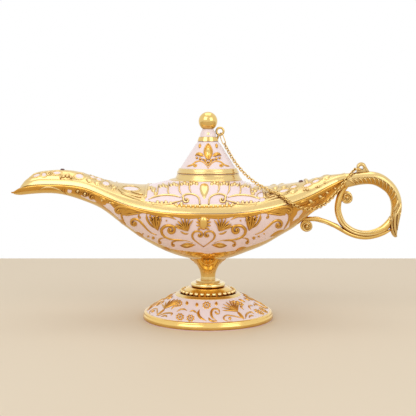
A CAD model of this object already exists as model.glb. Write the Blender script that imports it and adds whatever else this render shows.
"""Genie oil lamp: finishes, raised gold scrollwork, mouldings and the chain's links round the fixed frame.

Places on the relief are given in pixels of the 416 pixel photograph, where the pattern was measured, and
so are the radii of beads and volutes and the widths of leaves. Each place is carried along the camera's
ray to the surface that holds it. The widths of bars and all heights are in millimetres.
"""

import math

import bmesh
import bpy
from mathutils import Matrix, Vector
from mathutils.bvhtree import BVHTree


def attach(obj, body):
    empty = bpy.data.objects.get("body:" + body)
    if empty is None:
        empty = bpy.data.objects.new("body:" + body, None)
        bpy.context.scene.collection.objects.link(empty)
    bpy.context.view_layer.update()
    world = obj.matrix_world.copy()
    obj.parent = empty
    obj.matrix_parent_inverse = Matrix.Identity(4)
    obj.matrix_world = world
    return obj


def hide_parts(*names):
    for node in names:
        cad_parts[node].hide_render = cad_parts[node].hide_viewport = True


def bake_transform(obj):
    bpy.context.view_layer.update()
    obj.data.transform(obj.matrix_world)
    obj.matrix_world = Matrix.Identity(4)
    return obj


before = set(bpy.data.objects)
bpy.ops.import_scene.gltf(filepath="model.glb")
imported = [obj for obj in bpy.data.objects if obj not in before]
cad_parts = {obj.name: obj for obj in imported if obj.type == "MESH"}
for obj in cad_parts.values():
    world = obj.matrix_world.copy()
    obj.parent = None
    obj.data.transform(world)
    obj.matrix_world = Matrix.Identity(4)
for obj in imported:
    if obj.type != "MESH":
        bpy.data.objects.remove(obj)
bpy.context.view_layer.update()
MM = 0.001

# Camera, as the photograph was taken
PHOTO_SIZE = 416
CAMERA_PLACE = Vector((0, -530 * MM, 110.6 * MM))
CAMERA_PITCH = math.radians(5.16)
SENSOR = 36.0
LENS = 81.4

# Rays that look for a surface
FAR = 300 * MM  # from the lamp's middle to a start well outside it
AWAY = Vector((0, 1, 0))  # level, from the near side
DOWN = Vector((0, 0, -1))

# Raised work
SINK = 0.12 * MM  # how deep a raised piece stands in what carries it
SECTION_STEPS = 6  # facets over a raised bar
THINNING_SHARE = 0.3  # of a bar's length, over which each end thins
END_HEIGHT_SHARE = 0.35  # of a bar's height, left where it thins away
COIL_PLACES = 8  # in each turn of a volute
LEAF_ROUNDNESS = 0.8  # a leaf's sides are fuller below 1 and hollow above it
NEARER_SHARES = (1, 0.8, 0.6, 0.4)  # tried in turn where a place falls beside the surface
EYE_RADIUS_SHARE = 1.1  # of a volute's inner radius
EYE_HEIGHT_SHARE = 1.15  # of its bar's height
FINGER_LEAN_SHARE = 0.1  # of a palmette finger's rise, by which it bows aside
FINGER_BOW = 0.5
PETALS = 8
PETAL_SHARE = 0.3  # of a flower's reach: the radius of a petal and of the bead
PETAL_RING_SHARE = 0.66  # of a flower's reach, out to the petals' middles
SLANT_SHARE = 0.9  # of a flower's width: its height, as the sloping foot is seen

# Middle lines of the patterns, in pixels
BOWL_MIDDLE = 203.5
CROWN_MIDDLE = 204.3
LID_MIDDLE = 208.2


def make_camera():
    """The photograph's camera: level with the knob and looking slightly down."""
    data = bpy.data.cameras.new("photo_camera")
    data.sensor_width = SENSOR
    data.lens = LENS
    camera = bpy.data.objects.new("photo_camera", data)
    camera.location = CAMERA_PLACE
    camera.rotation_euler = (math.pi / 2 - CAMERA_PITCH, 0, 0)
    bpy.context.scene.collection.objects.link(camera)
    bpy.context.scene.camera = camera


def photo_ray(px, py):
    """Start and direction of the camera's ray through a pixel of the photograph."""
    focal = LENS / SENSOR * PHOTO_SIZE
    right = (px - PHOTO_SIZE / 2) / focal
    up = (PHOTO_SIZE / 2 - py) / focal
    forward = math.cos(CAMERA_PITCH) + up * math.sin(CAMERA_PITCH)
    rise = up * math.cos(CAMERA_PITCH) - math.sin(CAMERA_PITCH)
    return CAMERA_PLACE, Vector((right, forward, rise))


# Surfaces that carry raised work
def surface(*names):
    """A search tree over the faces of one or more CAD nodes."""
    verts = []
    faces = []
    for name in names:
        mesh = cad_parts[name].data
        base = len(verts)
        verts.extend(v.co.copy() for v in mesh.vertices)
        faces.extend([base + i for i in p.vertices] for p in mesh.polygons)
    return BVHTree.FromPolygons(verts, faces)


def cast(tree, start, along):
    """The first point of a surface along a ray and the normal there, towards the ray's start, or None."""
    point, normal, _, _ = tree.ray_cast(start, along.normalized())
    if point is None:
        return None
    return point, -normal if normal.dot(along) > 0 else normal


def on_photo(tree, place):
    """The point and normal of a surface under a pixel of the photograph, or None."""
    return cast(tree, *photo_ray(*place))


lower = surface("lower_shell")
upper = surface("upper_shell")
lid = surface("lid_cone")
foot = surface("foot")
handle = surface("handle_bow", "handle_scroll", "handle_brace")
stem = surface("stem")
lug = surface("chain_lug")
cap = surface("neck_cap")


# Curves
def between(t, before, near, far, after):
    """A value at a share t of the way from near to far, on a smooth curve through all four."""
    bend = 2 * before - 5 * near + 4 * far - after
    swing = 3 * near - before - 3 * far + after
    return (2 * near + (far - before) * t + bend * t**2 + swing * t**3) / 2


def through(points, steps=7):
    """A smooth curve through the points, as a denser list."""
    ends = [points[0], *points, points[-1]]
    curve = []
    for four in zip(ends, ends[1:], ends[2:], ends[3:]):
        for i in range(steps):
            curve.append(tuple(between(i / steps, *values) for values in zip(*four)))
    curve.append(tuple(points[-1]))
    return curve


def coil(eye, inner, outer, turns, leave, hand):
    """Places that wind out of a volute's eye.

    The coil leaves it at an angle in degrees, anticlockwise if hand is 1 and clockwise if it is -1.
    """
    count = round(COIL_PLACES * turns)
    places = []
    for i in range(count + 1):
        part = i / count
        angle = math.radians(leave - hand * 360 * turns * (1 - part))
        reach = inner + (outer - inner) * part
        places.append((eye[0] + reach * math.cos(angle), eye[1] - reach * math.sin(angle)))
    return places


def ellipse(middle, across, up, tilt=0.0, count=16):
    """Places round an ellipse, as a closed line. Its half sizes are across and up before it is tilted."""
    turn = math.radians(tilt)
    places = []
    for i in range(count + 1):
        angle = 2 * math.pi * i / count
        dx = across * math.cos(angle) * math.cos(turn) - up * math.sin(angle) * math.sin(turn)
        dy = across * math.cos(angle) * math.sin(turn) + up * math.sin(angle) * math.cos(turn)
        places.append((middle[0] + dx, middle[1] - dy))
    return places


def leaf(root, tip, width, count=5):
    """Places round a leaf from its root to its tip, pointed at both ends, as a closed line."""
    run = (tip[0] - root[0], tip[1] - root[1])
    length = math.hypot(*run)
    side = (-run[1] / length, run[0] / length)
    edges = []
    for hand in (1, -1):
        edge = []
        for i in range(count + 1):
            part = i / count
            out = hand * width / 2 * math.sin(math.pi * part) ** LEAF_ROUNDNESS
            edge.append((root[0] + run[0] * part + side[0] * out, root[1] + run[1] * part + side[1] * out))
        edges.append(edge)
    return edges[0] + edges[1][::-1][1:]


# Meshes
def bridge(bm, rows, closed=False):
    """Faces between rows of vertices. Each row is closed into a ring where asked."""
    for near, far in zip(rows, rows[1:]):
        if closed:
            near = near + near[:1]
            far = far + far[:1]
        for a, b, c, d in zip(near, near[1:], far[1:], far):
            bm.faces.new((a, b, c, d))


def ease(part):
    """A share from 0 to 1 that starts and ends slowly."""
    part = min(1, part)
    return part * part * (3 - 2 * part)


def taper(part, start, end):
    """Share of the full width at a part of the way along a bar that thins to start and end."""
    return min(
        start + (1 - start) * ease(part / THINNING_SHARE),
        end + (1 - end) * ease((1 - part) / THINNING_SHARE),
    )


def lay_bar(bm, hits, width, height, start, end):
    """A half-round bar along the points found on a surface, if they are enough for one."""
    hits = [hit for hit in hits if hit]
    if len(hits) < 4:
        return
    path, normals = zip(*hits)
    last = len(path) - 1
    rings = []
    for i, point in enumerate(path):
        along = path[min(i + 1, last)] - path[max(i - 1, 0)]
        normal = sum(normals[max(i - 2, 0) : i + 3], Vector()).normalized()
        side = along.cross(normal).normalized()
        share = taper(i / last, start, end)
        tall = height * MM * (END_HEIGHT_SHARE + (1 - END_HEIGHT_SHARE) * share)
        ring = []
        for j in range(SECTION_STEPS + 1):
            angle = math.pi * j / SECTION_STEPS
            across = -math.cos(angle) * width * MM / 2 * share
            ring.append(bm.verts.new(point + side * across + normal * (math.sin(angle) * tall - SINK)))
        rings.append(ring)
    bridge(bm, rings)
    bm.faces.new(rings[0])
    bm.faces.new(reversed(rings[-1]))


def add_far_side(bm):
    """A mirror copy of what is drawn, on the lamp's far side."""
    made = bmesh.ops.duplicate(bm, geom=bm.verts[:] + bm.edges[:] + bm.faces[:])["geom"]
    for part in made:
        if isinstance(part, bmesh.types.BMVert):
            part.co.y = -part.co.y
    bmesh.ops.reverse_faces(bm, faces=[part for part in made if isinstance(part, bmesh.types.BMFace)])


def smooth_piece(name, bm, material):
    """A smooth-shaded mesh with its finish, not yet on a body."""
    bmesh.ops.recalc_face_normals(bm, faces=bm.faces[:])
    mesh = bpy.data.meshes.new(name)
    bm.to_mesh(mesh)
    bm.free()
    for polygon in mesh.polygons:
        polygon.use_smooth = True
    mesh.materials.append(material)
    made = bpy.data.objects.new(name, mesh)
    bpy.context.scene.collection.objects.link(made)
    return made


def finish_piece(name, bm, material, body="lamp"):
    """A smooth-shaded piece that rides on a body."""
    made = smooth_piece(name, bm, material)
    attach(made, body)


class Relief:
    """Raised work on one surface. It is mirrored where it has a middle line."""

    def __init__(self, tree, middle=None):
        self.tree = tree
        self.middle = middle
        self.bm = bmesh.new()

    def sides(self, places):
        """The places, and those on the other side of the middle line."""
        yield places
        if self.middle is not None:
            yield [(2 * self.middle - x, y) for x, y in places]

    def bar(self, places, width, height=0.5, start=0.2, end=0.2, steps=6):
        """A half-round bar through the places. It thins to the start and end shares of its width."""
        for side in self.sides(places):
            hits = [on_photo(self.tree, place) for place in through(side, steps)]
            lay_bar(self.bm, hits, width, height, start, end)

    def ring(self, outline, width, height):
        """A half-round bar of even width along a closed line."""
        self.bar(outline, width, height, start=1, end=1, steps=3)

    def draw_in(self, middle, place, share):
        """The surface at a share of the way from a middle to a place, or nearer where that misses it."""
        for nearer in NEARER_SHARES:
            hit = on_photo(self.tree, [m + (p - m) * nearer * share for m, p in zip(middle, place)])
            if hit:
                return hit
        return None

    def mound(self, outline, height, rings=4):
        """A domed patch inside a closed line of places."""
        shares = [1 - i / rings for i in range(rings)]
        lifts = [-SINK] + [height * MM * math.sqrt(1 - share**2) for share in shares[1:]]
        for side in self.sides(outline[:-1]):
            middle = [sum(values) / len(side) for values in zip(*side)]
            top = on_photo(self.tree, middle)
            rows = [[self.draw_in(middle, place, share) for place in side] for share in shares]
            if top is None or not all(all(row) for row in rows):
                continue
            circles = []
            for row, lift in zip(rows, lifts):
                circles.append([self.bm.verts.new(point + normal * lift) for point, normal in row])
            bridge(self.bm, circles, closed=True)
            peak = self.bm.verts.new(top[0] + top[1] * height * MM)
            inmost = circles[-1]
            for a, b in zip(inmost, inmost[1:] + inmost[:1]):
                self.bm.faces.new((a, b, peak))

    def bead(self, middle, radius, height=0.5):
        """A round bead."""
        self.mound(ellipse(middle, radius, radius, count=12), height, rings=3)

    def scroll(self, eye, inner, outer, turns, leave, hand, arm, width, height=0.55, end=0.15):
        """A volute with a bead in its eye, whose bar goes on along its arm."""
        places = coil(eye, inner, outer, turns, leave, hand) + arm
        self.bar(places, width, height, start=0.6, end=end, steps=5)
        self.bead(eye, inner * EYE_RADIUS_SHARE, height * EYE_HEIGHT_SHARE)

    def fan(self, root, tips, width, height):
        """Fingers of a palmette, from its root to its tips."""
        for tip in tips:
            x = (root[0] + tip[0]) / 2 + FINGER_LEAN_SHARE * (tip[1] - root[1])
            y = (root[1] + tip[1]) / 2 - FINGER_BOW
            self.bar([root, (x, y), tip], width, height, start=0.35, end=0.35, steps=4)

    def flower(self, middle, reach):
        """Petals round a bead, seen at a slant."""
        ring = PETAL_RING_SHARE * reach
        petal = PETAL_SHARE * reach
        for i in range(PETALS):
            angle = 2 * math.pi * (i + 0.5) / PETALS
            place = (middle[0] + ring * math.cos(angle), middle[1] + ring * SLANT_SHARE * math.sin(angle))
            self.mound(ellipse(place, petal, petal * SLANT_SHARE, count=8), height=0.45, rings=2)
        self.bead(middle, petal, height=0.6)

    def piece(self, name, material, body="lamp", far_side=True, turns=1):
        """The finished piece, with its mirror copy on the far side or its copies round the axis."""
        bm = self.bm
        if far_side:
            add_far_side(bm)
        drawn = bm.verts[:] + bm.edges[:] + bm.faces[:]
        for i in range(1, turns):
            made = bmesh.ops.duplicate(bm, geom=drawn)["geom"]
            copies = [part for part in made if isinstance(part, bmesh.types.BMVert)]
            bmesh.ops.rotate(bm, verts=copies, matrix=Matrix.Rotation(2 * math.pi * i / turns, 3, "Z"))
        finish_piece(name, bm, material, body)


# Materials
def linear(hex_colour):
    """Linear red, green, blue and alpha of an sRGB hex colour."""
    channels = [int(hex_colour[i : i + 2], 16) / 255 for i in (1, 3, 5)]
    return [c / 12.92 if c <= 0.04045 else ((c + 0.055) / 1.055) ** 2.4 for c in channels] + [1]


def add(tree, kind, settings=None, stops=(), **inputs):
    """Adds a node, sets its properties and a ramp's stops, and sets or links its inputs.

    An input is named with _ for a space, or with _ and its number.
    """
    node = tree.nodes.new(kind)
    for name, value in (settings or {}).items():
        setattr(node, name, value)
    for number, (position, hex_colour) in enumerate(stops):
        node.color_ramp.elements[number].position = position
        node.color_ramp.elements[number].color = linear(hex_colour)
    for name, value in inputs.items():
        key = int(name[1:]) if name[1:].isdigit() else name.replace("_", " ")
        socket = node.inputs[key]
        if isinstance(value, bpy.types.NodeSocket):
            tree.links.new(value, socket)
        else:
            socket.default_value = value
    return node


def new_material(name, surface_of, *looks):
    """A material whose surface one of the functions below makes, with what it asks for."""
    material = bpy.data.materials.new(name)
    material.use_nodes = True
    tree = material.node_tree
    tree.nodes.clear()
    place = add(tree, "ShaderNodeTexCoord").outputs["Object"]
    add(tree, "ShaderNodeOutputMaterial", Surface=surface_of(tree, place, *looks))
    return material


def worn_colour(tree, place, stops, depth, patch, unevenness):
    """A colour that turns from the recesses' to the face's, between two stops of share and hex colour.

    depth is how wide a recess darkens and patch how wide the uneven patches of wear are, in millimetres.
    """
    hollow = add(tree, "ShaderNodeAmbientOcclusion", {"samples": 8, "only_local": False}, Distance=depth * MM)
    cloud = add(tree, "ShaderNodeTexNoise", Vector=place, Scale=1 / (patch * MM), Detail=3.0)
    scaled = {"operation": "MULTIPLY_ADD"}
    wear = add(tree, "ShaderNodeMath", scaled, _0=cloud.outputs[0], _1=unevenness, _2=-unevenness / 2)
    reach = add(tree, "ShaderNodeMath", {"operation": "ADD"}, _0=hollow.outputs["AO"], _1=wear.outputs[0])
    return add(tree, "ShaderNodeValToRGB", stops=stops, Fac=reach.outputs[0]).outputs["Color"]


def gold_surface(tree, place, face_hex, recess_hex, roughness, grit, grain):
    """Gold plating over brass. Its recesses are darker and redder, because the polishing mop misses them.

    grit is the spacing in millimetres of the marks of casting or polishing, and grain their height. Real
    marks are 0.05 to 0.2 mm apart. They are drawn two to five times as coarse, so that they show.
    """
    stops = [(0.4, recess_hex), (0.95, face_hex)]
    colour = worn_colour(tree, place, stops, depth=2.0, patch=9, unevenness=0.5)
    marks = add(tree, "ShaderNodeTexNoise", Vector=place, Scale=1 / (grit * MM), Detail=2.0).outputs[0]
    rough = add(tree, "ShaderNodeMapRange", Value=marks, To_Min=roughness * 0.8, To_Max=roughness * 1.25)
    bump = add(tree, "ShaderNodeBump", Height=marks, Distance=grain * MM, Strength=0.6)
    shader = add(
        tree,
        "ShaderNodeBsdfPrincipled",
        Base_Color=colour,
        Metallic=1.0,
        Roughness=rough.outputs["Result"],
        Normal=bump.outputs["Normal"],
    )
    return shader.outputs["BSDF"]


def enamel_surface(tree, place, face_hex):
    """Cold enamel, brushed into the recesses of the casting: satin, and thicker and darker by the gold.

    Real brush marks are about 0.3 mm wide. They are drawn at 0.9 mm, so that they show.
    """
    stops = [(0.35, ENAMEL_EDGE), (0.85, face_hex)]
    colour = worn_colour(tree, place, stops, depth=1.3, patch=6, unevenness=0.3)
    brush = add(tree, "ShaderNodeTexNoise", Vector=place, Scale=1 / (0.9 * MM), Detail=2.0)
    bump = add(tree, "ShaderNodeBump", Height=brush.outputs[0], Distance=0.05 * MM, Strength=0.58)
    shader = add(
        tree,
        "ShaderNodeBsdfPrincipled",
        Base_Color=colour,
        Roughness=0.34,
        Coat_Weight=0.2,
        Coat_Roughness=0.15,
        Normal=bump.outputs["Normal"],
    )
    return shader.outputs["BSDF"]


def gilded_surface(tree, place, low_x, high_x, face_hex, recess_hex):
    """Enamel between two places along the lamp, in millimetres, and cast gold beyond them."""
    along = add(tree, "ShaderNodeSeparateXYZ", Vector=place).outputs["X"]
    left = add(tree, "ShaderNodeMath", {"operation": "LESS_THAN"}, _0=along, _1=low_x * MM)
    right = add(tree, "ShaderNodeMath", {"operation": "GREATER_THAN"}, _0=along, _1=high_x * MM)
    outside = add(tree, "ShaderNodeMath", {"operation": "MAXIMUM"}, _0=left.outputs[0], _1=right.outputs[0])
    pink = enamel_surface(tree, place, ENAMEL_FACE)
    plated = gold_surface(tree, place, face_hex, recess_hex, roughness=0.24, grit=0.55, grain=0.05)
    return add(tree, "ShaderNodeMixShader", _0=outside.outputs[0], _1=pink, _2=plated).outputs[0]


def glass_surface(tree, place, deep_hex, light_hex):
    """Cut glass with a foiled back, whose mottling shows through it."""
    foil = add(tree, "ShaderNodeTexNoise", Vector=place, Scale=1 / (0.8 * MM), Detail=2.0)
    colour = add(tree, "ShaderNodeValToRGB", stops=[(0, deep_hex), (1, light_hex)], Fac=foil.outputs[0])
    shader = add(
        tree,
        "ShaderNodeBsdfPrincipled",
        Base_Color=colour.outputs["Color"],
        Roughness=0.06,
        Transmission_Weight=0.35,
        Coat_Weight=1.0,
    )
    return shader.outputs["BSDF"]


def steel_surface(tree, place, dull_hex, bright_hex):
    """Plated steel. Its crystals of about 0.1 mm are drawn at 0.7 mm, so that they show."""
    flakes = add(tree, "ShaderNodeTexVoronoi", Vector=place, Scale=1 / (0.7 * MM)).outputs["Distance"]
    colour = add(tree, "ShaderNodeValToRGB", stops=[(0, dull_hex), (1, bright_hex)], Fac=flakes)
    shader = add(
        tree,
        "ShaderNodeBsdfPrincipled",
        Base_Color=colour.outputs["Color"],
        Metallic=1.0,
        Roughness=0.35,
    )
    return shader.outputs["BSDF"]


def paint_surface(tree, place, patch, dull_hex, pale_hex):
    """Matt paint, with soft patches of a size in metres that keep it from looking flat."""
    cloud = add(tree, "ShaderNodeTexNoise", Vector=place, Scale=1 / patch, Detail=2.0)
    colour = add(tree, "ShaderNodeValToRGB", stops=[(0, dull_hex), (1, pale_hex)], Fac=cloud.outputs[0])
    shader = add(tree, "ShaderNodeBsdfPrincipled", Base_Color=colour.outputs["Color"], Roughness=0.6)
    return shader.outputs["BSDF"]


ENAMEL_FACE = "#F9E3E5"
PALE_ENAMEL_FACE = "#FCEBED"  # on the foot, lid and cap, where it is brushed on thinly
ENAMEL_EDGE = "#C9A3A4"
BOWL_FIELD = (-49.2, 44.8)  # ends of the enamel on the bowl's sides, in millimetres
CROWN_FIELD = (-33.8, 30.6)  # and of the enamel round the mouth

# Golds: colours of face and recess, roughness, and the spacing and height of the marks.
# Plating over the casting as it left the mould: honey gold with brown recesses and soft highlights
cast_gold = new_material("antique_cast_gold", gold_surface, "#DDA850", "#85501A", 0.23, 0.55, 0.05)
# The same plating, mopped on the open bands: pale and even, with broad highlights
pale_gold = new_material("buffed_cast_gold", gold_surface, "#E6C888", "#8E5A20", 0.22, 0.6, 0.03)
# Polished like a mirror: the lights show in it as sharp spots
bright_gold = new_material("polished_gold", gold_surface, "#E8C67C", "#84521A", 0.09, 0.35, 0.008)
# Burnished by hand on turned and bent work: warm, with long bright streaks
burnished_gold = new_material("burnished_gold", gold_surface, "#EEC878", "#AC7022", 0.15, 0.35, 0.01)
# Raised spots that handling has rubbed: the palest gold, bright against its surroundings
rubbed_gold = new_material("rubbed_bright_gold", gold_surface, "#F4DFA4", "#C08C3C", 0.16, 0.4, 0.01)
# Wire as the die leaves it: smooth, with a soft sheen
wire_gold = new_material("drawn_wire_gold", gold_surface, "#EDCB80", "#A87A30", 0.18, 0.25, 0.01)
# Cold enamel: a soft pale pink under a satin skin
pink_enamel = new_material("pink_cold_enamel", enamel_surface, PALE_ENAMEL_FACE)
# The same enamel in fields that end in gold towards the spout and the tail
bowl_enamel = new_material("bowl_enamel_and_gold", gilded_surface, *BOWL_FIELD, "#DFA54A", "#7A400C")
crown_enamel = new_material("crown_enamel_and_gold", gilded_surface, *CROWN_FIELD, "#E2C484", "#96622A")
# Garnet-coloured glass: nearly black red and wet-looking, with light only at its edges
garnet = new_material("garnet_glass", glass_surface, "#3A0512", "#8A1026")
# Zinc-plated steel: plain grey, with faint bright crystals
steel = new_material("zinc_plated_steel", steel_surface, "#9A9CA0", "#C4C6C8")


def dress_frame():
    """The CAD pieces' own finishes."""
    finishes = {
        bowl_enamel: ["lower_shell"],
        crown_enamel: ["upper_shell"],
        pink_enamel: ["foot", "lid_cone", "neck_cap"],
        pale_gold: ["handle_bow", "chain_lug", "lid_plug"],
        burnished_gold: ["stem", "foot_dome", "handle_scroll", "handle_brace"],
        bright_gold: ["lid_knob", "neck_band"],
        rubbed_gold: ["stem_collar"],
        wire_gold: ["eye_link", "lug_ring", "lid_chain"],
        garnet: ["spout_gem", "tail_gem"],
        steel: ["foot_bolt", "bolt_washer", "bolt_nut", "tail_pin", "knob_stud", "knob_nut"],
    }
    for material, names in finishes.items():
        for name in names:
            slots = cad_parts[name].data.materials
            slots.clear()
            slots.append(material)


# The hull's own lines, found on the frame
NOSE_X = -109.5 * MM
TAIL_X = 76.0 * MM
SEAM_PLACES = 150
SEAM_HIGHEST = 85 * MM
SEAM_LOWEST = 50 * MM
SEAM_STEP = 0.5 * MM
SEAM_HALVINGS = 8
UNDER_SEAM = 0.3 * MM
LEAST_HALF_WIDTH = 0.5 * MM


def seam_height(x):
    """Height of the seam at a place along the hull: the top of the lower shell's side."""
    high = SEAM_HIGHEST
    while high > SEAM_LOWEST and cast(lower, Vector((x, -FAR, high - SEAM_STEP)), AWAY) is None:
        high -= SEAM_STEP
    low = high - SEAM_STEP
    for _ in range(SEAM_HALVINGS):
        middle = (low + high) / 2
        if cast(lower, Vector((x, -FAR, middle)), AWAY):
            low = middle
        else:
            high = middle
    return low


def find_seam():
    """Places along the hull and the seam's height at each, found once."""
    places = [NOSE_X + (TAIL_X - NOSE_X) * i / SEAM_PLACES for i in range(SEAM_PLACES + 1)]
    return [(x, seam_height(x)) for x in places]


seam = find_seam()


def hull_point(x, height, angle):
    """Where a ray to the seam's middle line meets the hull. Angles go from the near side, 0, downwards."""
    outward = Vector((0, -math.cos(angle), -math.sin(angle)))
    return cast(lower, Vector((x, 0, height)) + outward * FAR, -outward)


def half_width(x, height):
    """The hull's half width just under the seam."""
    hit = cast(lower, Vector((x, -FAR, height - UNDER_SEAM)), AWAY)
    return -hit[0].y if hit else LEAST_HALF_WIDTH


# Bands and mouldings: thin skins over the casting, lifted row by row by heights in millimetres
SUNK = -0.1  # an edge sunk into the casting
SKIN = 0.1  # the least that a gilded skin lies over it
SHOULDER = 0.35  # how square a skin's shoulders are; 1 is round


def skin(bm, rows, lifts):
    """A thin raised skin over rows of (point, normal), lifted by one height for each place in a row."""
    made = []
    for row in rows:
        made.append([bm.verts.new(p + n * lift * MM) for (p, n), lift in zip(row, lifts)])
    bridge(bm, made)


def cushion(count, crown, edge):
    """Heights over a skin: sunk edges, a rounded shoulder of one height and a crowned middle of another."""
    lifts = []
    for i in range(1, count):
        arch = math.sin(math.pi * i / count)
        lifts.append(SKIN + edge * arch**SHOULDER + crown * arch)
    return [SUNK, *lifts, SUNK]


RIM_STEPS = 9
RIM_START = 0.17  # above the seam
RIM_WIDTH = 4.75  # at the lamp's middle
RIM_NARROWING = 1.75  # over the next 100 mm
RIM_LIP_X = -96  # where the pouring lip starts
RIM_LIP_WIDTH = 3.1
RIM_LIP_NARROWING = 0.14  # for each millimetre of the lip
RIM_LEAST_WIDTH = 0.9
RIM_LIFTS = [0.08, *cushion(RIM_STEPS, crown=0.12, edge=0.16)[1:]]


def rim_row(x, height):
    """Across the smooth sloping band that edges the upper shell."""
    wide = RIM_WIDTH - RIM_NARROWING * min(1, abs(x) / (100 * MM))
    if x <= RIM_LIP_X * MM:
        wide = max(RIM_LIP_WIDTH - RIM_LIP_NARROWING * (RIM_LIP_X - x / MM), RIM_LEAST_WIDTH)
    heights = [height + (RIM_START + wide * i / RIM_STEPS) * MM for i in range(RIM_STEPS + 1)]
    return [cast(upper, Vector((x, -FAR, z)), AWAY) for z in heights]


BORDER_STEPS = 6
BORDER_TOP = 0.1  # under the seam
BORDER_DEPTH = 1.9
BORDER_MOST_SHARE = 0.55  # of the hull's half width, where that is narrow
BORDER_LEAST_DEPTH = 0.4
SCALLOP_DEPTH = 1.0
SCALLOP_PITCH = 15.5
SCALLOP_SHIFT = 2.4
BORDER_LIFTS = [0.02, 0.34, 0.30, 0.20, 0.20, 0.26, SUNK]


def border_row(x, height):
    """Across the lower shell's lip under the seam, down to its scalloped edge."""
    width = half_width(x, height)
    deep = BORDER_DEPTH + SCALLOP_DEPTH * abs(math.sin(math.pi * (x / MM + SCALLOP_SHIFT) / SCALLOP_PITCH))
    deep = min(deep, BORDER_MOST_SHARE * width / MM + BORDER_LEAST_DEPTH)
    drops = [(BORDER_TOP + deep * i / BORDER_STEPS) * MM for i in range(BORDER_STEPS + 1)]
    return [hull_point(x, height, math.atan2(drop, width)) for drop in drops]


KEEL_STEPS = 12
KEEL_RISE = 3.0
KEEL_BULGE = 4.9  # what it rises more under the middle of the bowl
KEEL_BULGE_REACH = 22
KEEL_HEM = 0.7  # height of its scallops
KEEL_HEM_PITCH = 19
KEEL_MOST_SHARE = 0.45  # of the hull's depth
KEEL_LIFTS = cushion(KEEL_STEPS, crown=0.05, edge=0.2)


def keel_row(x, height):
    """Across the gilded keel, from one side to the other. It is wider round the stem."""
    keel = cast(lower, Vector((x, 0, 0)), -DOWN)
    if keel is None:
        return []
    bottom = keel[0].z
    hem = KEEL_HEM * abs(math.sin(math.pi * x / (KEEL_HEM_PITCH * MM)))
    rise = (KEEL_RISE + KEEL_BULGE * math.exp(-((x / (KEEL_BULGE_REACH * MM)) ** 2)) + hem) * MM
    rise = min(rise, KEEL_MOST_SHARE * (height - bottom))
    edge = cast(lower, Vector((x, -FAR, bottom + rise)), AWAY)
    if edge is None:
        return []
    first = math.atan2(height - edge[0].z, -edge[0].y)
    angles = [first + (math.pi - 2 * first) * i / KEEL_STEPS for i in range(KEEL_STEPS + 1)]
    return [hull_point(x, height, angle) for angle in angles]


def hull_band(name, row_at, lifts, material, far_side=True):
    """A band along the hull, over the rows that lie on it all the way across."""
    bm = bmesh.new()
    rows = [row_at(x, height) for x, height in seam]
    skin(bm, [row for row in rows if row and all(row)], lifts)
    if far_side:
        add_far_side(bm)
    finish_piece(name, bm, material)


def hull_bands():
    """The buffed rim, the scalloped border under the seam and the keel."""
    hull_band("rim_band", rim_row, RIM_LIFTS, pale_gold)
    hull_band("bowl_border", border_row, BORDER_LIFTS, cast_gold)
    hull_band("keel_band", keel_row, KEEL_LIFTS, burnished_gold, far_side=False)


LATHE_STEPS = 96
OUTSIDE_MOUTH = 24  # radius between the mouth or lid and what stands higher beyond it
OUTSIDE_FOOT = 50
MOUTH_HEIGHTS = [78.6, 78.8, 79.1, 79.4, 79.6, 79.8, 80.1, 80.4, 80.8, 81.3, 81.6, 81.9, 82.15, 82.35]
MOUTH_LIFTS = [SUNK, 0.2, 0.3, 0.25, 0.06, 0.1, 0.16, 0.16, 0.14, 0.14, 0.05, 0.3, 0.35, -0.05]
LID_RIM_HEIGHTS = [82.55, 82.7, 83.0, 83.5, 83.9, 84.1, 84.4, 84.8, 85.1, 85.35, 85.5]
LID_RIM_LIFTS = [-0.05, 0.25, 0.4, 0.34, 0.12, 0.1, 0.3, 0.42, 0.36, 0.2, SUNK]
FOOT_RIM_HEIGHTS = [0.25, 0.5, 1.0, 1.6, 2.2, 2.6, 2.9, 3.2, 3.5, 3.75, 3.95, 4.25, 4.5]
FOOT_RIM_LIFTS = [-0.05, 0.08, 0.14, 0.16, 0.14, 0.08, 0.02, 0.1, 0.3, 0.42, 0.42, 0.3, SUNK]
FOOT_TOP_RADII = [14.6, 14.8, 15.9, 16.2, 16.6, 17.0, 17.4, 18.0, 18.6, 19.0]
FOOT_TOP_LIFTS = [SUNK, 0.04, 0.06, 0.2, 0.34, 0.38, 0.34, 0.16, 0.24, SUNK]
DOME_BEADS = 28
DOME_BEAD_RING = 14.75 * MM  # radius of the ring of beads
DOME_BEAD_HEIGHT = 15.6 * MM
DOME_BEAD_RADIUS = 1.22 * MM


def level_rays(outside, heights):
    """The start's radius and height of a ray at each height. With no direction it runs to the axis."""
    return [(outside, z * MM, None) for z in heights]


def upright_rays(radii):
    """The start's radius and height, and the direction, of a ray straight down at each radius."""
    return [(radius, FAR, DOWN) for radius in radii]


def moulding(name, tree, rays, lifts, material, body="lamp"):
    """A turned moulding: rings where the rays, carried round the axis, meet a round piece."""
    bm = bmesh.new()
    rows = []
    for j in range(LATHE_STEPS + 1):
        angle = 2 * math.pi * (j % LATHE_STEPS) / LATHE_STEPS
        outward = Vector((math.cos(angle), math.sin(angle), 0))
        row = []
        for radius, height, fixed in rays:
            row.append(cast(tree, outward * radius * MM + Vector((0, 0, height)), fixed or -outward))
        rows.append(row)
    skin(bm, rows, lifts)
    bmesh.ops.remove_doubles(bm, verts=bm.verts[:], dist=0.001 * MM)
    finish_piece(name, bm, material, body)


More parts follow.
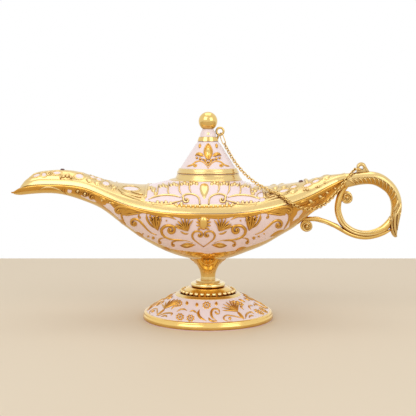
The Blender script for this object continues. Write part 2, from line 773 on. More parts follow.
def mouldings():
    """Gold rings of the mouth's collar, the lid's rim, the foot's rim and the foot's top."""
    mouth_rays = level_rays(OUTSIDE_MOUTH, MOUTH_HEIGHTS)
    moulding("mouth_moulding", upper, mouth_rays, MOUTH_LIFTS, pale_gold)
    lid_rays = level_rays(OUTSIDE_MOUTH, LID_RIM_HEIGHTS)
    moulding("lid_rim_moulding", lid, lid_rays, LID_RIM_LIFTS, pale_gold, "lid")
    foot_rays = level_rays(OUTSIDE_FOOT, FOOT_RIM_HEIGHTS)
    moulding("foot_rim_moulding", foot, foot_rays, FOOT_RIM_LIFTS, burnished_gold)
    moulding("foot_top_moulding", foot, upright_rays(FOOT_TOP_RADII), FOOT_TOP_LIFTS, pale_gold)


def dome_beads():
    """Bright caps on the beads round the dome, where polishing has rubbed them."""
    bm = bmesh.new()
    for i in range(DOME_BEADS):
        angle = 2 * math.pi * i / DOME_BEADS
        place = (DOME_BEAD_RING * math.cos(angle), DOME_BEAD_RING * math.sin(angle), DOME_BEAD_HEIGHT)
        matrix = Matrix.Translation(place)
        bmesh.ops.create_icosphere(bm, subdivisions=2, radius=DOME_BEAD_RADIUS, matrix=matrix)
    finish_piece("dome_beads", bm, rubbed_gold)


# Bowl: the scrollwork on its sides. What is mirrored is given left of the middle line.
HEART_ARM = [(195.0, 231.6), (192.3, 235.0), (193.4, 239.0), (197.6, 242.6), (203.5, 246.8)]
C_SCROLL_ARM = [
    (165.2, 226.2), (161.6, 229.8), (162.4, 234.2), (166.5, 237.6), (172.5, 239.5), (180.0, 239.9),
    (187.0, 240.8), (193.0, 243.0),
]
S_SCROLL_ARM = [(139.2, 220.8), (143.0, 224.6), (147.0, 229.2), (151.5, 232.8), (156.4, 234.7)]
TAIL_S_SCROLL_ARM = [(273.2, 222.0), (269.4, 225.4), (265.0, 229.2), (260.4, 232.4), (255.2, 234.4)]
SPOUT_VOLUTE_ARM = [(124.0, 207.2), (131.0, 208.6), (139.0, 211.0), (147.0, 213.0)]
CURL_ARM = [(139.0, 213.7), (143.0, 212.9), (148.0, 214.2)]
HOOK_ARM = [(159.6, 239.2), (162.5, 238.0), (166.0, 238.2)]
LEAF_HOOK_ARM = [(172.6, 242.0), (176.5, 240.9), (183.0, 241.0)]
# Scrolls: eye, inner and outer radius, turns, angle it leaves at, hand, arm, width, height, end share
BOWL_SCROLLS = [
    ((199.6, 234.8), 1.1, 3.4, 0.8, 95, 1, HEART_ARM, 1.25, 0.65, 0.5),
    ((170.8, 230.0), 1.5, 4.4, 1.1, 100, 1, C_SCROLL_ARM, 1.75, 0.8),
    ((118.6, 210.4), 1.6, 3.5, 0.9, 80, -1, SPOUT_VOLUTE_ARM, 2.1, 0.8, 0.4),
    ((140.0, 217.0), 0.8, 2.0, 0.6, 120, -1, CURL_ARM, 0.9, 0.4, 0.4),
    ((160.4, 242.2), 1.0, 1.9, 0.5, 150, -1, HOOK_ARM, 1.2, 0.5, 0.3),
    ((173.6, 244.8), 1.0, 2.0, 0.5, 150, -1, LEAF_HOOK_ARM, 1.2, 0.5, 0.3),
]
# These stand on one side only
BOWL_END_SCROLLS = [
    ((134.3, 222.9), 1.6, 3.9, 0.9, 75, -1, S_SCROLL_ARM, 1.75, 0.75, 0.4),
    ((278.2, 224.6), 1.8, 4.3, 0.9, 105, 1, TAIL_S_SCROLL_ARM, 1.75, 0.75, 0.4),
]
FIELD_ENDS = [
    [(121.0, 213.6), (122.0, 217.6), (123.4, 221.5), (125.6, 226.0)],
    [(288.0, 212.4), (289.6, 217.0), (288.0, 222.4), (284.4, 228.4)],
]
BOWL_BUMPS = [
    ((134.0, 231.4), (144.5, 237.6)), ((160.0, 246.8), (172.5, 251.2)), ((118.0, 219.0), (127.0, 226.0)),
    ((285.4, 229.0), (268.8, 237.2)), ((247.0, 246.8), (234.5, 251.2)),
]
# Branches: places and width
BOWL_BRANCHES = [
    ([(174.0, 226.0), (179.0, 226.9), (184.5, 229.2)], 1.17),
    ([(121.4, 214.4), (127.0, 214.9), (134.0, 213.9), (141.0, 213.4)], 1.3),
    ([(146.6, 214.0), (147.0, 219.0), (150.2, 224.4), (154.4, 228.2)], 1.56),
    ([(161.6, 216.8), (166.5, 216.2), (171.5, 217.4), (176.5, 219.8)], 1.04),
]
FIELD_CORNER = [
    (119.0, 208.0), (124.0, 206.4), (131.0, 208.4), (139.0, 211.6), (136.6, 214.2), (131.4, 213.4),
    (126.0, 214.8), (122.0, 216.2), (119.6, 213.0), (119.0, 208.0),
]
# Dots: middle and radius
BOWL_DOTS = [
    ((148.3, 236.3), 1.1), ((153.2, 237.9), 1.7), ((143.0, 233.6), 0.8), ((166.5, 220.6), 0.9),
    ((126.4, 209.2), 1.5),
]
ALMOND_ROOT = (180.0, 245.6)
ALMOND_TIP = (195.5, 244.9)
ALMOND_MIDDLE = (187.0, 245.3)
ALMOND_EDGES = [(187.0, 243.2), (187.0, 247.4)]
PALMETTE_ROOT = (188.0, 231.0)
PALMETTE_TIPS = [
    (176.2, 227.4), (175.8, 224.0), (177.6, 220.8), (181.0, 218.4), (185.2, 217.2), (189.4, 217.8),
    (192.8, 220.2),
]
PALMETTE_LEAF = [(188.6, 233.8), (184.4, 233.6), (180.2, 231.2)]
PALMETTE_GROUND = ellipse((184.6, 226.2), 5.0, 4.2, tilt=25)
ACANTHUS_ROOT = (155.2, 214.6)
ACANTHUS_TIP = (158.0, 230.6)
ACANTHUS_BOW = 0.8
# Volutes: eye, inner and outer radius, turns, angle it leaves at and hand
ACANTHUS_VOLUTES = [((151.8, 219.2), 0.8, 2.5, 0.9, 60, 1), ((159.6, 219.8), 0.8, 2.5, 0.9, 120, -1)]
ACANTHUS_TOPS = [(150.2, 216.4), (153.6, 217.6), (157.2, 216.4), (160.2, 218.0)]
SHELL_MIDDLE = (203.5, 223.0)
SHELL_TIPS = [(197.0, 218.4), (195.8, 221.8), (196.0, 225.6), (197.6, 229.6)]


def bowl_scrollwork():
    """The large scrolls, heart and branches on the bowl's sides."""
    relief = Relief(lower, BOWL_MIDDLE)
    for row in BOWL_SCROLLS:
        relief.scroll(*row)
    for points, width in BOWL_BRANCHES:
        relief.bar(points, width, height=0.6)
    relief.mound(FIELD_CORNER, height=0.4)
    for place, radius in BOWL_DOTS:
        relief.bead(place, radius, height=0.6)
    relief.mound(leaf(ALMOND_ROOT, ALMOND_TIP, width=4.2), height=0.45)
    for place in ALMOND_EDGES:
        relief.bar([ALMOND_ROOT, place, ALMOND_TIP], width=0.6, height=0.6)
    relief.middle = None
    for row in BOWL_END_SCROLLS:
        relief.scroll(*row)
    for points in FIELD_ENDS:
        relief.bar(points, width=1.9, height=0.6, start=0.6, end=0.6)
    for root, tip in BOWL_BUMPS:
        relief.mound(leaf(root, tip, width=4.2), height=0.5)
    relief.piece("bowl_scrollwork", cast_gold)


def bowl_leaves():
    """Palmettes, acanthus pendants and the middle shell on the bowl's sides."""
    relief = Relief(lower, BOWL_MIDDLE)
    relief.mound(PALMETTE_GROUND, height=0.3)
    relief.fan(PALMETTE_ROOT, PALMETTE_TIPS, width=1.05, height=0.9)
    relief.bar(PALMETTE_LEAF, width=1.2)
    relief.mound(leaf(ACANTHUS_ROOT, ACANTHUS_TIP, width=9.6), height=0.3)
    for top in ACANTHUS_TOPS:
        x = 0.55 * top[0] + 0.45 * ACANTHUS_TIP[0] - ACANTHUS_BOW
        middle = (x, 0.5 * (top[1] + ACANTHUS_TIP[1]))
        relief.bar([top, middle, ACANTHUS_TIP], width=1.35, height=0.95, start=0.7, end=0.15)
        relief.bead(top, radius=1.4, height=1.0)
    for volute in ACANTHUS_VOLUTES:
        relief.bar(coil(*volute), width=0.9, height=1.1, start=0.6, end=0.6, steps=4)
        relief.bead(volute[0], radius=0.9, height=1.3)
    for tip in SHELL_TIPS:
        root = (SHELL_MIDDLE[0] - 1.0, 0.6 * SHELL_MIDDLE[1] + 0.4 * tip[1] + 1.0)
        middle = ((root[0] + tip[0]) / 2, (root[1] + tip[1]) / 2)
        relief.bar([root, middle, tip], width=1.3, height=0.6, start=0.6, end=0.1)
    relief.middle = None
    relief.mound(ellipse(SHELL_MIDDLE, 4.8, 7.4), height=0.9)
    relief.piece("bowl_leaves", cast_gold)
    bright = Relief(lower, BOWL_MIDDLE)
    bright.mound(ellipse(ALMOND_MIDDLE, 4.2, 1.3, tilt=3), height=0.75)
    bright.middle = None
    bright.mound(ellipse(SHELL_MIDDLE, 4.3, 6.9), height=1.4, rings=5)
    bright.piece("bowl_bosses", burnished_gold)


# Spout and tail, under the seam
SPOUT_ARC = [(39.0, 190.0), (44.5, 187.4), (51.5, 187.2), (58.0, 189.2), (65.0, 192.8)]
SPOUT_EDGE = [(66.0, 186.4), (63.5, 190.0), (66.5, 194.0), (72.0, 196.4)]
SPOUT_BEADS = [(78.0, 191.0), (85.2, 193.7)]
SPOUT_VOLUTE_TAIL = [(96.0, 194.4), (100.5, 196.6), (105.0, 199.8)]
# A scroll, as in the bowl's table
SPOUT_VOLUTE = ((92.2, 196.8), 1.1, 3.2, 0.9, 80, -1, SPOUT_VOLUTE_TAIL, 1.2, 0.8)
# Leaves: root and tip
SPOUT_LEAVES = [((99.0, 196.5), (107.5, 201.2)), ((108.0, 201.6), (116.0, 204.6))]
TAIL_LEAVES = [
    ((306.0, 207.0), (316.0, 201.0)), ((318.0, 201.6), (327.0, 195.8)), ((298.5, 203.6), (308.0, 199.4)),
]
# Bumps: middle and radius
SPOUT_BUMPS = [((78.0, 191.0), 1.6), ((85.2, 193.7), 1.6), ((102.6, 200.0), 1.4), ((110.6, 202.6), 1.2)]
TAIL_BUMPS = [((310.4, 201.2), 2.1), ((320.2, 196.7), 1.9), ((326.9, 192.7), 1.6), ((335.0, 188.4), 1.3)]
SPOUT_POOLS = [
    ellipse((69.6, 191.0), 2.5, 2.7),
    leaf((79.0, 194.8), (98.0, 202.6), 4.6),
    [
        (101.6, 204.4), (105.6, 202.2), (110.4, 203.4), (115.0, 208.4), (119.0, 214.4), (121.4, 220.4),
        (116.6, 217.0), (111.0, 211.8), (106.0, 208.0), (101.6, 204.4),
    ],
]
TAIL_POOL = [
    (297.9, 210.5), (303.2, 208.4), (303.4, 211.4), (298.6, 218.2), (291.4, 222.8), (293.0, 218.6),
    (296.6, 214.4), (297.9, 210.5),
]


def spout_relief():
    """Leaves, ringed beads and small enamel pools under the spout and the tail."""
    relief = Relief(lower)
    relief.bar(SPOUT_EDGE, width=1.0, height=0.6)
    for middle in SPOUT_BEADS:
        relief.ring(ellipse(middle, 2.8, 2.8), width=0.8, height=0.6)
    relief.scroll(*SPOUT_VOLUTE)
    for root, tip in SPOUT_LEAVES + TAIL_LEAVES:
        relief.mound(leaf(root, tip, width=3.4), height=0.8)
    relief.piece("spout_relief", cast_gold)
    bumps = Relief(lower)
    bumps.bar(SPOUT_ARC, width=1.1, height=0.7)
    for middle, radius in SPOUT_BUMPS + TAIL_BUMPS:
        bumps.bead(middle, radius, height=1.2)
    bumps.piece("spout_bumps", pale_gold)
    pools = Relief(lower)
    for outline in SPOUT_POOLS + [TAIL_POOL]:
        pools.mound(outline, height=0.16)
    pools.piece("spout_enamel", pink_enamel)


# Crown: raised gold on the enamel round the mouth. What is mirrored is given left of the middle line.
CROWN_DROP = [
    (204.3, 182.8), (208.0, 184.2), (209.2, 188.2), (208.4, 192.4), (206.4, 196.4), (204.3, 199.6),
    (202.2, 196.4), (200.2, 192.4), (199.4, 188.2), (200.6, 184.2),
]
CROWN_RIBS = [
    [(190.0, 181.6), (189.5, 185.0), (189.6, 189.0), (191.4, 193.0)],
    [(179.6, 182.0), (179.2, 186.0), (179.4, 190.4), (181.4, 194.6)],
    [(168.8, 183.0), (168.2, 187.0), (168.0, 191.2), (169.6, 195.4)],
    [(158.6, 184.8), (157.8, 188.6), (157.4, 192.6), (156.0, 196.6)],
]
CROWN_HEADS = [(194.0, 183.0), (184.4, 183.2), (173.8, 184.0), (163.2, 185.2), (151.6, 187.8)]
# Lobes of a head: place from its middle and radius
CROWN_LOBES = [((-2.8, 0.9), 1.9), ((0.0, -0.2), 2.1), ((2.8, 0.9), 1.9)]
CROWN_SCROLL_ARM = [(183.0, 195.9), (188.4, 194.1), (194.4, 194.8), (198.9, 198.2), (199.8, 204.4)]
# A scroll, as in the bowl's table
CROWN_SCROLL = ((186.3, 199.9), 1.1, 3.2, 0.9, 150, -1, CROWN_SCROLL_ARM, 1.35, 0.85, 0.7)
# Leaves: places and width
CROWN_LEAVES = [
    ([(148.6, 199.4), (155.0, 196.9), (164.0, 195.2), (173.0, 195.4), (180.6, 197.4)], 1.43),
    ([(149.4, 201.4), (157.0, 204.4), (167.0, 204.4), (175.0, 202.4), (182.0, 200.6)], 1.3),
    ([(118.6, 189.4), (124.0, 193.2), (132.0, 195.2), (141.0, 197.6)], 1.43),
    ([(121.0, 193.4), (129.0, 196.0), (138.0, 199.4), (147.0, 202.6)], 1.69),
    ([(131.0, 191.4), (137.0, 193.2), (143.0, 194.6)], 1.17),
]
# Bumps: middle and radius
CROWN_BUMPS = [
    ((153.4, 203.8), 2.08), ((157.6, 202.4), 2.21), ((161.8, 203.0), 2.08), ((165.9, 202.5), 2.21),
    ((170.6, 203.4), 2.08), ((176.0, 204.8), 1.95), ((181.4, 204.0), 2.21), ((149.0, 187.6), 2.08),
    ((153.2, 190.2), 2.34), ((155.4, 193.6), 1.95),
]
CROWN_HALF_WIDTH = 24 * MM
CROWN_EDGE_STEPS = 12
CROWN_CHANNEL = [(172.0, 205.4), (181.0, 206.4), (192.0, 207.0), (204.3, 207.3)]
BEAD_ROW = 6  # beads on each side of the crown's middle
BEAD_PITCH = 4.5
BEAD_ROW_MIDDLE = 206.9  # pixels down, at the middle line
BEAD_ROW_RISE = 0.9  # at the row's ends

# Ridges of the spout and the tail, above the seam
# Pools: middle, half length, half width and tilt
RIDGE_POOLS = [
    ((36.5, 175.4), 3.8, 1.3, 18),
    ((44.0, 174.7), 2.4, 1.9, 10),
    ((56.5, 172.9), 4.6, 1.4, 4),
    ((79.4, 176.2), 4.4, 2.5, -6),
    ((92.6, 176.9), 2.6, 0.9, -24),
    ((99.0, 179.2), 3.0, 1.2, -22),
    ((106.0, 183.5), 3.8, 2.0, -14),
    ((131.0, 188.6), 8.6, 2.0, -4),
    ((293.6, 186.6), 3.4, 1.0, 14),
    ((307.4, 185.0), 4.4, 1.3, 20),
    ((315.8, 181.0), 3.8, 1.2, 20),
    ((284.0, 190.8), 5.0, 1.3, 10),
    ((262.0, 195.0), 4.2, 2.2, 10),
]
# Beads: middle and radius
RIDGE_BEADS = [
    ((71.0, 177.6), 1.5), ((60.6, 177.6), 1.25), ((304.2, 190.2), 1.25), ((307.2, 189.9), 1.625),
    ((316.0, 187.4), 1.125), ((318.2, 186.8), 1.625), ((324.6, 183.0), 1.375), ((306.8, 181.3), 2.125),
    ((113.0, 186.0), 1.625), ((276.0, 195.6), 1.5),
]
# Leaves: root and tip
RIDGE_LEAVES = [
    ((62.6, 178.6), (65.0, 173.8)), ((66.4, 178.4), (69.0, 173.2)), ((85.4, 179.0), (92.4, 182.4)),
    ((93.6, 182.4), (100.6, 184.4)), ((111.0, 189.4), (118.0, 186.2)), ((321.4, 179.6), (331.6, 175.6)),
    ((250.6, 190.6), (259.4, 186.4)), ((272.0, 188.4), (279.0, 186.8)), ((280.4, 187.6), (287.6, 186.2)),
    ((288.4, 193.0), (298.0, 190.0)),
]
SPOUT_SCROLL_ARM = [(52.4, 172.6), (55.4, 174.6), (59.0, 174.2)]
TAIL_SCROLL_ARM = [(270.6, 191.2), (276.0, 192.4), (283.0, 193.8), (291.0, 192.8)]
# Scrolls, as in the bowl's table
RIDGE_SCROLLS = [
    ((49.6, 174.0), 0.9, 2.6, 0.8, 60, -1, SPOUT_SCROLL_ARM, 1.1),
    ((269.0, 194.0), 0.9, 2.8, 0.9, 100, -1, TAIL_SCROLL_ARM, 1.1),
]


def ridge_enamel_pools():
    """Pink enamel in the small windows along the spout's and the tail's ridge."""
    relief = Relief(upper)
    for middle, across, up, tilt in RIDGE_POOLS:
        relief.mound(ellipse(middle, across, up, tilt), height=0.16)
    relief.piece("ridge_enamel", pink_enamel)


def crown_edge(bm, x):
    """The gold edge that frames the enamel, from the near side's band up to the ridge."""
    spots = [-CROWN_HALF_WIDTH * i / CROWN_EDGE_STEPS for i in range(CROWN_EDGE_STEPS + 1)]
    hits = [cast(upper, Vector((x * MM, y, FAR)), DOWN) for y in spots]
    lay_bar(bm, hits, width=1.7, height=0.6, start=1, end=1)


def crown_scrollwork():
    """Ribs, drop, scrolls and the row of beads on the crown, and the small work along the ridges."""
    relief = Relief(upper, CROWN_MIDDLE)
    for points in CROWN_RIBS:
        relief.bar(points, width=1.0, height=0.7, start=0.8, end=0.3)
    for x, y in CROWN_HEADS:
        for (dx, dy), radius in CROWN_LOBES:
            relief.bead((x + dx, y + dy), radius, height=0.6)
    for middle, radius in CROWN_BUMPS:
        relief.bead(middle, radius, height=0.8)
    relief.scroll(*CROWN_SCROLL)
    for points, width in CROWN_LEAVES:
        relief.bar(points, width, height=0.85, start=0.4, end=0.4)
    for x in CROWN_FIELD:
        crown_edge(relief.bm, x)
    relief.middle = None
    relief.mound(through(CROWN_DROP + CROWN_DROP[:1], steps=3), height=0.9)
    for middle, across, up, tilt in RIDGE_POOLS:
        relief.ring(ellipse(middle, across + 0.9, up + 0.7, tilt), width=0.7, height=0.4)
    for middle, radius in RIDGE_BEADS:
        relief.bead(middle, radius, height=1.1)
    for root, tip in RIDGE_LEAVES:
        relief.mound(leaf(root, tip, width=3.6), height=0.9)
    for row in RIDGE_SCROLLS:
        relief.scroll(*row)
    relief.piece("crown_scrollwork", pale_gold)
    channel = Relief(upper, CROWN_MIDDLE)
    channel.bar(CROWN_CHANNEL, width=2.4, height=0.6, start=0.5, end=1)
    channel.piece("crown_channel", cast_gold)
    beads = Relief(upper)
    for i in range(-BEAD_ROW, BEAD_ROW + 1):
        place = (CROWN_MIDDLE + BEAD_PITCH * i, BEAD_ROW_MIDDLE - BEAD_ROW_RISE * (i / BEAD_ROW) ** 2)
        beads.bead(place, radius=1.6, height=1.2)
    beads.piece("crown_beads", rubbed_gold)


# Lid: left of its middle line, and on it
LID_DROPS = [((200.4, 143.4), (199.4, 148.6))]
LID_LOBE = [
    (194.6, 155.8), (196.2, 153.0), (199.4, 151.9), (202.8, 153.4), (204.4, 156.6), (201.0, 156.8),
    (197.6, 155.4),
]
# Beads: middle and radius
LID_BEADS = [((196.9, 158.0), 1.3), ((200.2, 158.8), 1.5), ((203.0, 159.6), 1.1), ((205.4, 160.3), 1.5)]
LID_SWAG_ARM = [(195.2, 162.2), (200.4, 161.0), (204.8, 163.6), (208.2, 168.4)]
# A scroll, as in the bowl's table
LID_SWAG = ((195.6, 165.0), 0.9, 2.1, 0.7, 130, -1, LID_SWAG_ARM, 1.1, 0.5, 0.4)
LID_TAIL = [(194.4, 162.6), (191.4, 165.2), (186.6, 166.2)]
LID_SWAG_FOLD = [(203.6, 160.8), (206.4, 162.8), (208.2, 166.4)]
LID_CABOCHON = (208.2, 151.9)
LID_CABOCHON_FOOT = (208.2, 159.8)
LID_CABOCHON_POINT = (208.2, 143.8)
LID_MIDDLE_BEAD = (208.2, 162.2)
CAP_BEAD = (208.2, 133.7)


def lid_ornament():
    """The cabochon, leaves, beads and swags on the lid, front and back, and the cap's bead."""
    relief = Relief(lid, LID_MIDDLE)
    for root, tip in LID_DROPS:
        relief.mound(leaf(root, tip, width=3.0), height=0.7)
    relief.mound(LID_LOBE + LID_LOBE[:1], height=0.9)
    for middle, radius in LID_BEADS:
        relief.bead(middle, radius, height=0.8)
    relief.scroll(*LID_SWAG)
    relief.bar(LID_TAIL, width=1.3)
    relief.bar(LID_SWAG_FOLD, width=0.9, height=0.5)
    relief.middle = None
    relief.mound(leaf(LID_CABOCHON_FOOT, LID_CABOCHON_POINT, width=8.8), height=0.4)
    relief.ring(leaf(LID_CABOCHON_FOOT, LID_CABOCHON_POINT, width=7.8), width=0.9, height=0.6)
    relief.bead(LID_MIDDLE_BEAD, radius=1.2, height=0.8)
    relief.piece("lid_ornament", cast_gold, "lid")
    stone = Relief(lid)
    stone.mound(ellipse(LID_CABOCHON, 2.5, 4.9), height=0.75)
    stone.piece("lid_cabochon", bright_gold, "lid")
    bead = Relief(cap)
    bead.bead(CAP_BEAD, radius=1.9, height=0.12)  # low, so that the eye clears it when the lid turns
    bead.piece("cap_bead", rubbed_gold, "lid")


# Foot: one quarter of the pattern, which is repeated round it
# Flowers: middle and reach
FOOT_FLOWERS = [
    ((206.7, 305.3), 4.84), ((178.7, 303.2), 4.29), ((180.0, 316.9), 4.73), ((190.5, 318.2), 4.62),
]
FOOT_DROPS = [(186.9, 303.4), (196.9, 305.0), (216.3, 304.0)]
FOOT_FAN_ROOT = (237.6, 311.8)
FOOT_FAN_TIPS = [
    (222.7, 310.6), (222.3, 307.6), (223.4, 304.4), (226.0, 302.2), (229.4, 300.9), (233.0, 300.5),
    (236.4, 301.4), (239.4, 303.2),
]
FOOT_LOOP = [
    (245.0, 318.4), (239.0, 317.4), (232.6, 315.9), (226.4, 315.4), (223.6, 318.0), (226.4, 320.9),
    (232.6, 321.0),
]
FOOT_LOOP_BEAD = (229.9, 318.5)
# Bars: places and width
FOOT_BARS = [
    ([(176.6, 312.0), (180.4, 309.6), (184.0, 309.2), (187.0, 310.8)], 1.17),
    ([(189.6, 311.6), (193.4, 310.8), (196.6, 313.2)], 1.17),
    ([(199.4, 309.6), (198.2, 313.4), (200.6, 317.8), (206.4, 320.8)], 1.69),
    ([(208.6, 317.4), (211.0, 320.8), (217.4, 321.2)], 1.43),
    (
        [(217.0, 320.8), (212.4, 317.4), (211.2, 312.4), (213.8, 308.9), (218.6, 309.8), (219.6, 313.6)],
        1.43,
    ),
    ([(219.4, 313.8), (216.6, 313.6), (215.0, 311.2)], 1.3),
    ([(237.6, 311.8), (240.6, 315.0), (243.6, 319.2)], 2.34),
    ([(245.6, 318.6), (246.6, 314.2), (250.6, 312.0), (254.2, 314.2)], 1.17),
    ([(249.0, 318.0), (250.6, 315.6), (253.6, 316.2)], 1.04),
    ([(171.0, 309.4), (174.4, 306.6), (178.6, 306.4)], 1.17),
]


def foot_ornament():
    """Flowers, drops, scrolls and fans on the foot, four times round it."""
    relief = Relief(foot)
    for middle, reach in FOOT_FLOWERS:
        relief.flower(middle, reach)
    for x, y in FOOT_DROPS:
        relief.mound(leaf((x, y - 2.6), (x, y + 2.2), width=3.4), height=0.6)
    relief.fan(FOOT_FAN_ROOT, FOOT_FAN_TIPS, width=1.0, height=0.65)
    relief.bar(FOOT_LOOP, width=1.0, height=0.5, start=0.5, end=0.3)
    relief.bead(FOOT_LOOP_BEAD, radius=1.6, height=0.7)
    for points, width in FOOT_BARS:
        relief.bar(points, width, height=0.6)
    relief.piece("foot_ornament", cast_gold, far_side=False, turns=4)


# Stem: a calyx of leaves under the bowl
CALYX_RIM = [(199.6, 259.0), (202.6, 263.0), (208.0, 265.4), (213.4, 263.0), (216.4, 259.0)]
CALYX_VEINS = [
    [(203.0, 257.6), (204.4, 260.4), (206.4, 263.2)],
    [(208.0, 257.8), (208.0, 260.6), (208.0, 263.8)],
    [(213.0, 257.6), (211.6, 260.4), (209.6, 263.2)],
]


def stem_leaves():
    """Veined leaves round the top of the stem."""
    relief = Relief(stem)
    relief.bar(CALYX_RIM, width=1.0, height=0.3, start=0.5, end=0.5)
    for points in CALYX_VEINS:
        relief.bar(points, width=1.1, height=0.45)
    relief.piece("stem_leaves", burnished_gold, far_side=False, turns=4)


# Handle: raised work on its near side
# A spot is an angle round the finger loop, in degrees from +X, and a share of the bar's width outwards
LOOP_MIDDLE = Vector((89.3 * MM, 0, 63.2 * MM))
LOOP_CLEAR = 11.5  # radius inside the finger loop, clear of its volute
INTO_BAR = 0.3
BOW_HOLLOW = [(angle, 0.27) for angle in range(122, -14, -6)]
BOW_VEIN = [(9, 0.6), (5, 0.46), (1, 0.28), (-2, 0.08)]  # angles from the vein's own place
BOW_VEIN_PLACES = range(18, 118, 9)
SCROLL_ARC = range(172, 316, 6)
# Strands: spots, width, height, start share and end share
LOOP_STRANDS = [
    ([(angle, 0.62) for angle in range(118, -12, -6)], 0.9, 0.5, 0.3, 0.3),
    ([(angle, 0.30) for angle in SCROLL_ARC], 1.3, 0.5, 0.3, 0.3),
    ([(angle, 0.74) for angle in SCROLL_ARC], 1.3, 0.5, 0.3, 0.3),
    ([(14, 0.62), (6, 0.46), (-2, 0.28), (-9, 0.12)], 1.5, 0.8, 0.4, 0.3),
    ([(8, 0.86), (-2, 0.7), (-12, 0.5), (-22, 0.3)], 1.4, 0.8, 0.4, 0.3),
    ([(-6, 0.86), (-14, 0.8), (-24, 0.7), (-34, 0.7)], 1.2, 0.7, 0.3, 0.3),
]
# Strands in the photograph's pixels: places and width
BRACE_STRANDS = [
    ([(311.0, 217.4), (318.0, 217.2), (325.0, 218.3), (332.0, 221.0), (338.0, 225.2), (344.0, 231.0)], 1.0),
    ([(312.0, 221.4), (318.0, 221.6), (325.0, 223.2), (332.0, 226.8), (338.0, 230.6), (345.0, 235.4)], 1.0),
]
TIP_STRANDS = [
    ([(395.4, 211.0), (395.2, 217.0), (394.8, 224.0), (395.4, 231.0), (396.8, 237.0)], 1.6),
    ([(392.2, 216.4), (392.0, 222.0), (392.6, 229.0), (395.0, 235.4)], 1.2),
    ([(398.6, 209.6), (398.2, 216.0), (397.4, 223.0), (397.2, 230.0)], 1.1),
]
# Volutes: eye, inner and outer radius, turns, angle it leaves at and hand
VOLUTE_COILS = [((347.2, 197.6), 1.6, 6.0, 1.35, 200, -1), ((306.8, 226.4), 1.6, 5.6, 1.35, 85, 1)]
LUG_COIL = coil((361.1, 167.6), 2.3, 3.6, 0.9, 20, -1) + [(365.4, 168.4), (366.8, 171.4)]


def loop_place(angle, share):
    """The point of a spot in the lamp's middle plane, or None."""
    out = Vector((math.cos(math.radians(angle)), 0, math.sin(math.radians(angle))))
    inner = cast(handle, LOOP_MIDDLE + out * LOOP_CLEAR * MM, out)
    outer = cast(handle, inner[0] + out * INTO_BAR * MM, out) if inner else None
    return inner[0].lerp(outer[0], share) if outer else None


def strand(bm, spots, width, height, start, end):
    """A raised bar on the handle's near side through the spots."""
    places = [loop_place(angle, share) for angle, share in through(spots, steps=5)]
    hits = [cast(handle, place - AWAY * FAR, AWAY) for place in places if place]
    lay_bar(bm, hits, width, height, start, end)


def handle_relief():
    """Leaf veins inside the bow, strands along the lower bar and the brace, and the volutes' coils."""
    dark = bmesh.new()
    strand(dark, BOW_HOLLOW, width=3.6, height=0.28, start=0.2, end=0.2)
    add_far_side(dark)
    finish_piece("bow_leaf", dark, cast_gold)
    relief = Relief(handle)
    for place in BOW_VEIN_PLACES:
        vein = [(place + angle, share) for angle, share in BOW_VEIN]
        strand(relief.bm, vein, width=1.0, height=0.8, start=0.5, end=0.3)
    for row in LOOP_STRANDS:
        strand(relief.bm, *row)
    for points, width in BRACE_STRANDS:
        relief.bar(points, width, height=0.45)
    for points, width in TIP_STRANDS:
        relief.bar(points, width, height=0.9, start=0.4, end=0.4)
    for volute in VOLUTE_COILS:
        relief.bar(coil(*volute), width=1.2, height=0.6, start=0.6, end=0.6)
        relief.bead(volute[0], radius=1.5, height=0.9)
    relief.tree = lug
    relief.bar(LUG_COIL, width=1.1, height=0.5, start=0.5, end=0.4)
    relief.piece("handle_relief", pale_gold)


# Chain: the route of its middle line, in millimetres from the frame's origin
CHAIN_ROUTE = [
    (9.2, 0.0, 99.0), (11.4, -2.0, 94.9), (14.8, -5.0, 89.1), (18.6, -8.0, 84.4), (22.9, -11.0, 80.2),
    (27.8, -14.2, 76.7), (32.6, -17.6, 74.5), (37.2, -20.9, 72.6), (41.4, -23.8, 70.5), (45.3, -25.4, 67.2),
    (49.4, -22.2, 64.9), (54.6, -18.8, 63.5), (60.5, -14.9, 64.1), (65.2, -12.0, 66.3), (69.4, -9.5, 69.8),
    (73.2, -7.5, 74.0), (76.6, -6.3, 78.7), (79.3, -4.9, 82.1), (82.95, 0.0, 84.85),
]
LINK_WIRE = 0.26 * MM
LINK_HALF_WIDTH = 0.78 * MM
LINK_HALF_STRAIGHT = 0.32 * MM
LINK_PITCH = 1.61 * MM
WIRE_STEPS = 8
BEND_STEPS = 7


def chain_line():
    """Points along the chain's middle line, read from a spline through its route's control points."""
    data = bpy.data.curves.new("chain_line", "CURVE")
    data.dimensions = "3D"
    data.resolution_u = 24
    spline = data.splines.new("NURBS")
    spline.points.add(len(CHAIN_ROUTE) - 1)
    for control, place in zip(spline.points, CHAIN_ROUTE):
        control.co = (*(c * MM for c in place), 1)
    spline.order_u = 3
    spline.use_endpoint_u = True
    holder = bpy.data.objects.new("chain_line", data)
    mesh = bpy.data.meshes.new_from_object(holder)
    points = [v.co.copy() for v in mesh.vertices]
    bpy.data.objects.remove(holder)
    bpy.data.meshes.remove(mesh)
    return points


def at_distance(points, distance):
    """The point and direction at a distance along a line of points."""
    for near, far in zip(points, points[1:]):
        span = (far - near).length
        if distance <= span:
            return near + (far - near) * (distance / span), (far - near).normalized()
        distance -= span
    return points[-1], (points[-1] - points[-2]).normalized()


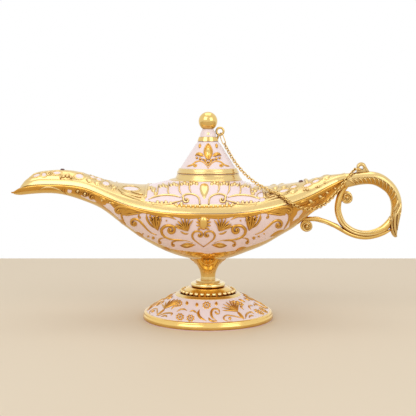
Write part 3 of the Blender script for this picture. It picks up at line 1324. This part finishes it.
def link_ring(bm, middle, along, flat):
    """One oval link of round wire, its long way along the chain and its flat face square to flat."""
    side = flat.cross(along).normalized()
    loop = []
    for end in (1, -1):
        for i in range(BEND_STEPS + 1):
            angle = math.pi * (i / BEND_STEPS - 0.5)
            reach = LINK_HALF_STRAIGHT + LINK_HALF_WIDTH * math.cos(angle)
            loop.append(along * reach * end + side * LINK_HALF_WIDTH * math.sin(angle) * end)
    rings = []
    for i, offset in enumerate(loop):
        out = (loop[(i + 1) % len(loop)] - loop[i - 1]).normalized().cross(flat)
        ring = []
        for j in range(WIRE_STEPS):
            angle = 2 * math.pi * j / WIRE_STEPS
            wire = out * math.cos(angle) + flat * math.sin(angle)
            ring.append(bm.verts.new(middle + offset + LINK_WIRE * wire))
        rings.append(ring)
    bridge(bm, rings + rings[:1], closed=True)


def make_chain():
    """The cable chain from the lid's eye to the handle's lug, each link turned a quarter from the last."""
    points = chain_line()
    length = sum((b - a).length for a, b in zip(points, points[1:]))
    count = round(length / LINK_PITCH)
    bm = bmesh.new()
    for i in range(count):
        middle, along = at_distance(points, length * (i + 0.5) / count)
        level = Vector((0, 0, 1)).cross(along).normalized()
        flat = level if i % 2 else along.cross(level)
        link_ring(bm, middle, along, flat)
    chain = smooth_piece("lid_chain_links", bm, wire_gold)
    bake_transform(chain)
    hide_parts("lid_chain")


# Floor, background and soft box lights, in metres
FLOOR_NEAR = -1.2
FLOOR_BACK = 0.235
FLOOR_HALF_WIDTH = 2.0
FLOOR_LOOKS = (1 / 3, "#E3D2B8", "#E9DAC2")  # size of its patches, and its two tones
ROOM_LIGHT = "#FFFDFA"
ROOM_STRENGTH = 0.58
LIGHT_AIM = Vector((0, 0, 0.06))
# Lights: name, place, side and watts
LIGHTS = [
    ("key_light", (-0.55, -0.75, 0.75), 0.7, 2.9),
    ("fill_light", (0.65, -0.7, 0.55), 0.6, 1.9),
    ("top_light", (0.0, 0.15, 0.95), 0.7, 1.6),
]


def make_floor():
    """A plain pale floor, which ends behind the lamp."""
    mesh = bpy.data.meshes.new("floor")
    corners = [(x, y, 0) for y in (FLOOR_NEAR, FLOOR_BACK) for x in (-FLOOR_HALF_WIDTH, FLOOR_HALF_WIDTH)]
    mesh.from_pydata(corners, [], [(0, 1, 3, 2)])
    mesh.materials.append(new_material("floor_paint", paint_surface, *FLOOR_LOOKS))
    floor = bpy.data.objects.new("floor", mesh)
    bpy.context.scene.collection.objects.link(floor)


def make_background():
    """Even light from all round, which the camera, metal and glass see as plain white."""
    world = bpy.data.worlds.new("studio")
    bpy.context.scene.world = world
    world.use_nodes = True
    tree = world.node_tree
    tree.nodes.clear()
    rays = add(tree, "ShaderNodeLightPath").outputs
    either = {"operation": "MAXIMUM"}
    seen = add(tree, "ShaderNodeMath", either, _0=rays["Is Camera Ray"], _1=rays["Is Transmission Ray"])
    shown = add(tree, "ShaderNodeMath", either, _0=seen.outputs[0], _1=rays["Is Glossy Ray"])
    soft = add(tree, "ShaderNodeBackground", Color=linear(ROOM_LIGHT), Strength=ROOM_STRENGTH)
    white = add(tree, "ShaderNodeBackground", Color=(1, 1, 1, 1), Strength=1.0)
    mix = add(tree, "ShaderNodeMixShader", _0=shown.outputs[0], _1=soft.outputs[0], _2=white.outputs[0])
    add(tree, "ShaderNodeOutputWorld", Surface=mix.outputs[0])


def make_lights():
    """Large soft lights from both front sides and from above."""
    for name, place, side, watts in LIGHTS:
        data = bpy.data.lights.new(name, "AREA")
        data.size = side
        data.energy = watts
        light = bpy.data.objects.new(name, data)
        light.location = place
        light.rotation_euler = (LIGHT_AIM - Vector(place)).to_track_quat("-Z", "Y").to_euler()
        bpy.context.scene.collection.objects.link(light)


bpy.context.scene.view_settings.view_transform = "Standard"
make_camera()
make_floor()
make_background()
make_lights()
dress_frame()
make_chain()
hull_bands()
mouldings()
dome_beads()
bowl_scrollwork()
bowl_leaves()
spout_relief()
ridge_enamel_pools()
crown_scrollwork()
lid_ornament()
foot_ornament()
stem_leaves()
handle_relief()
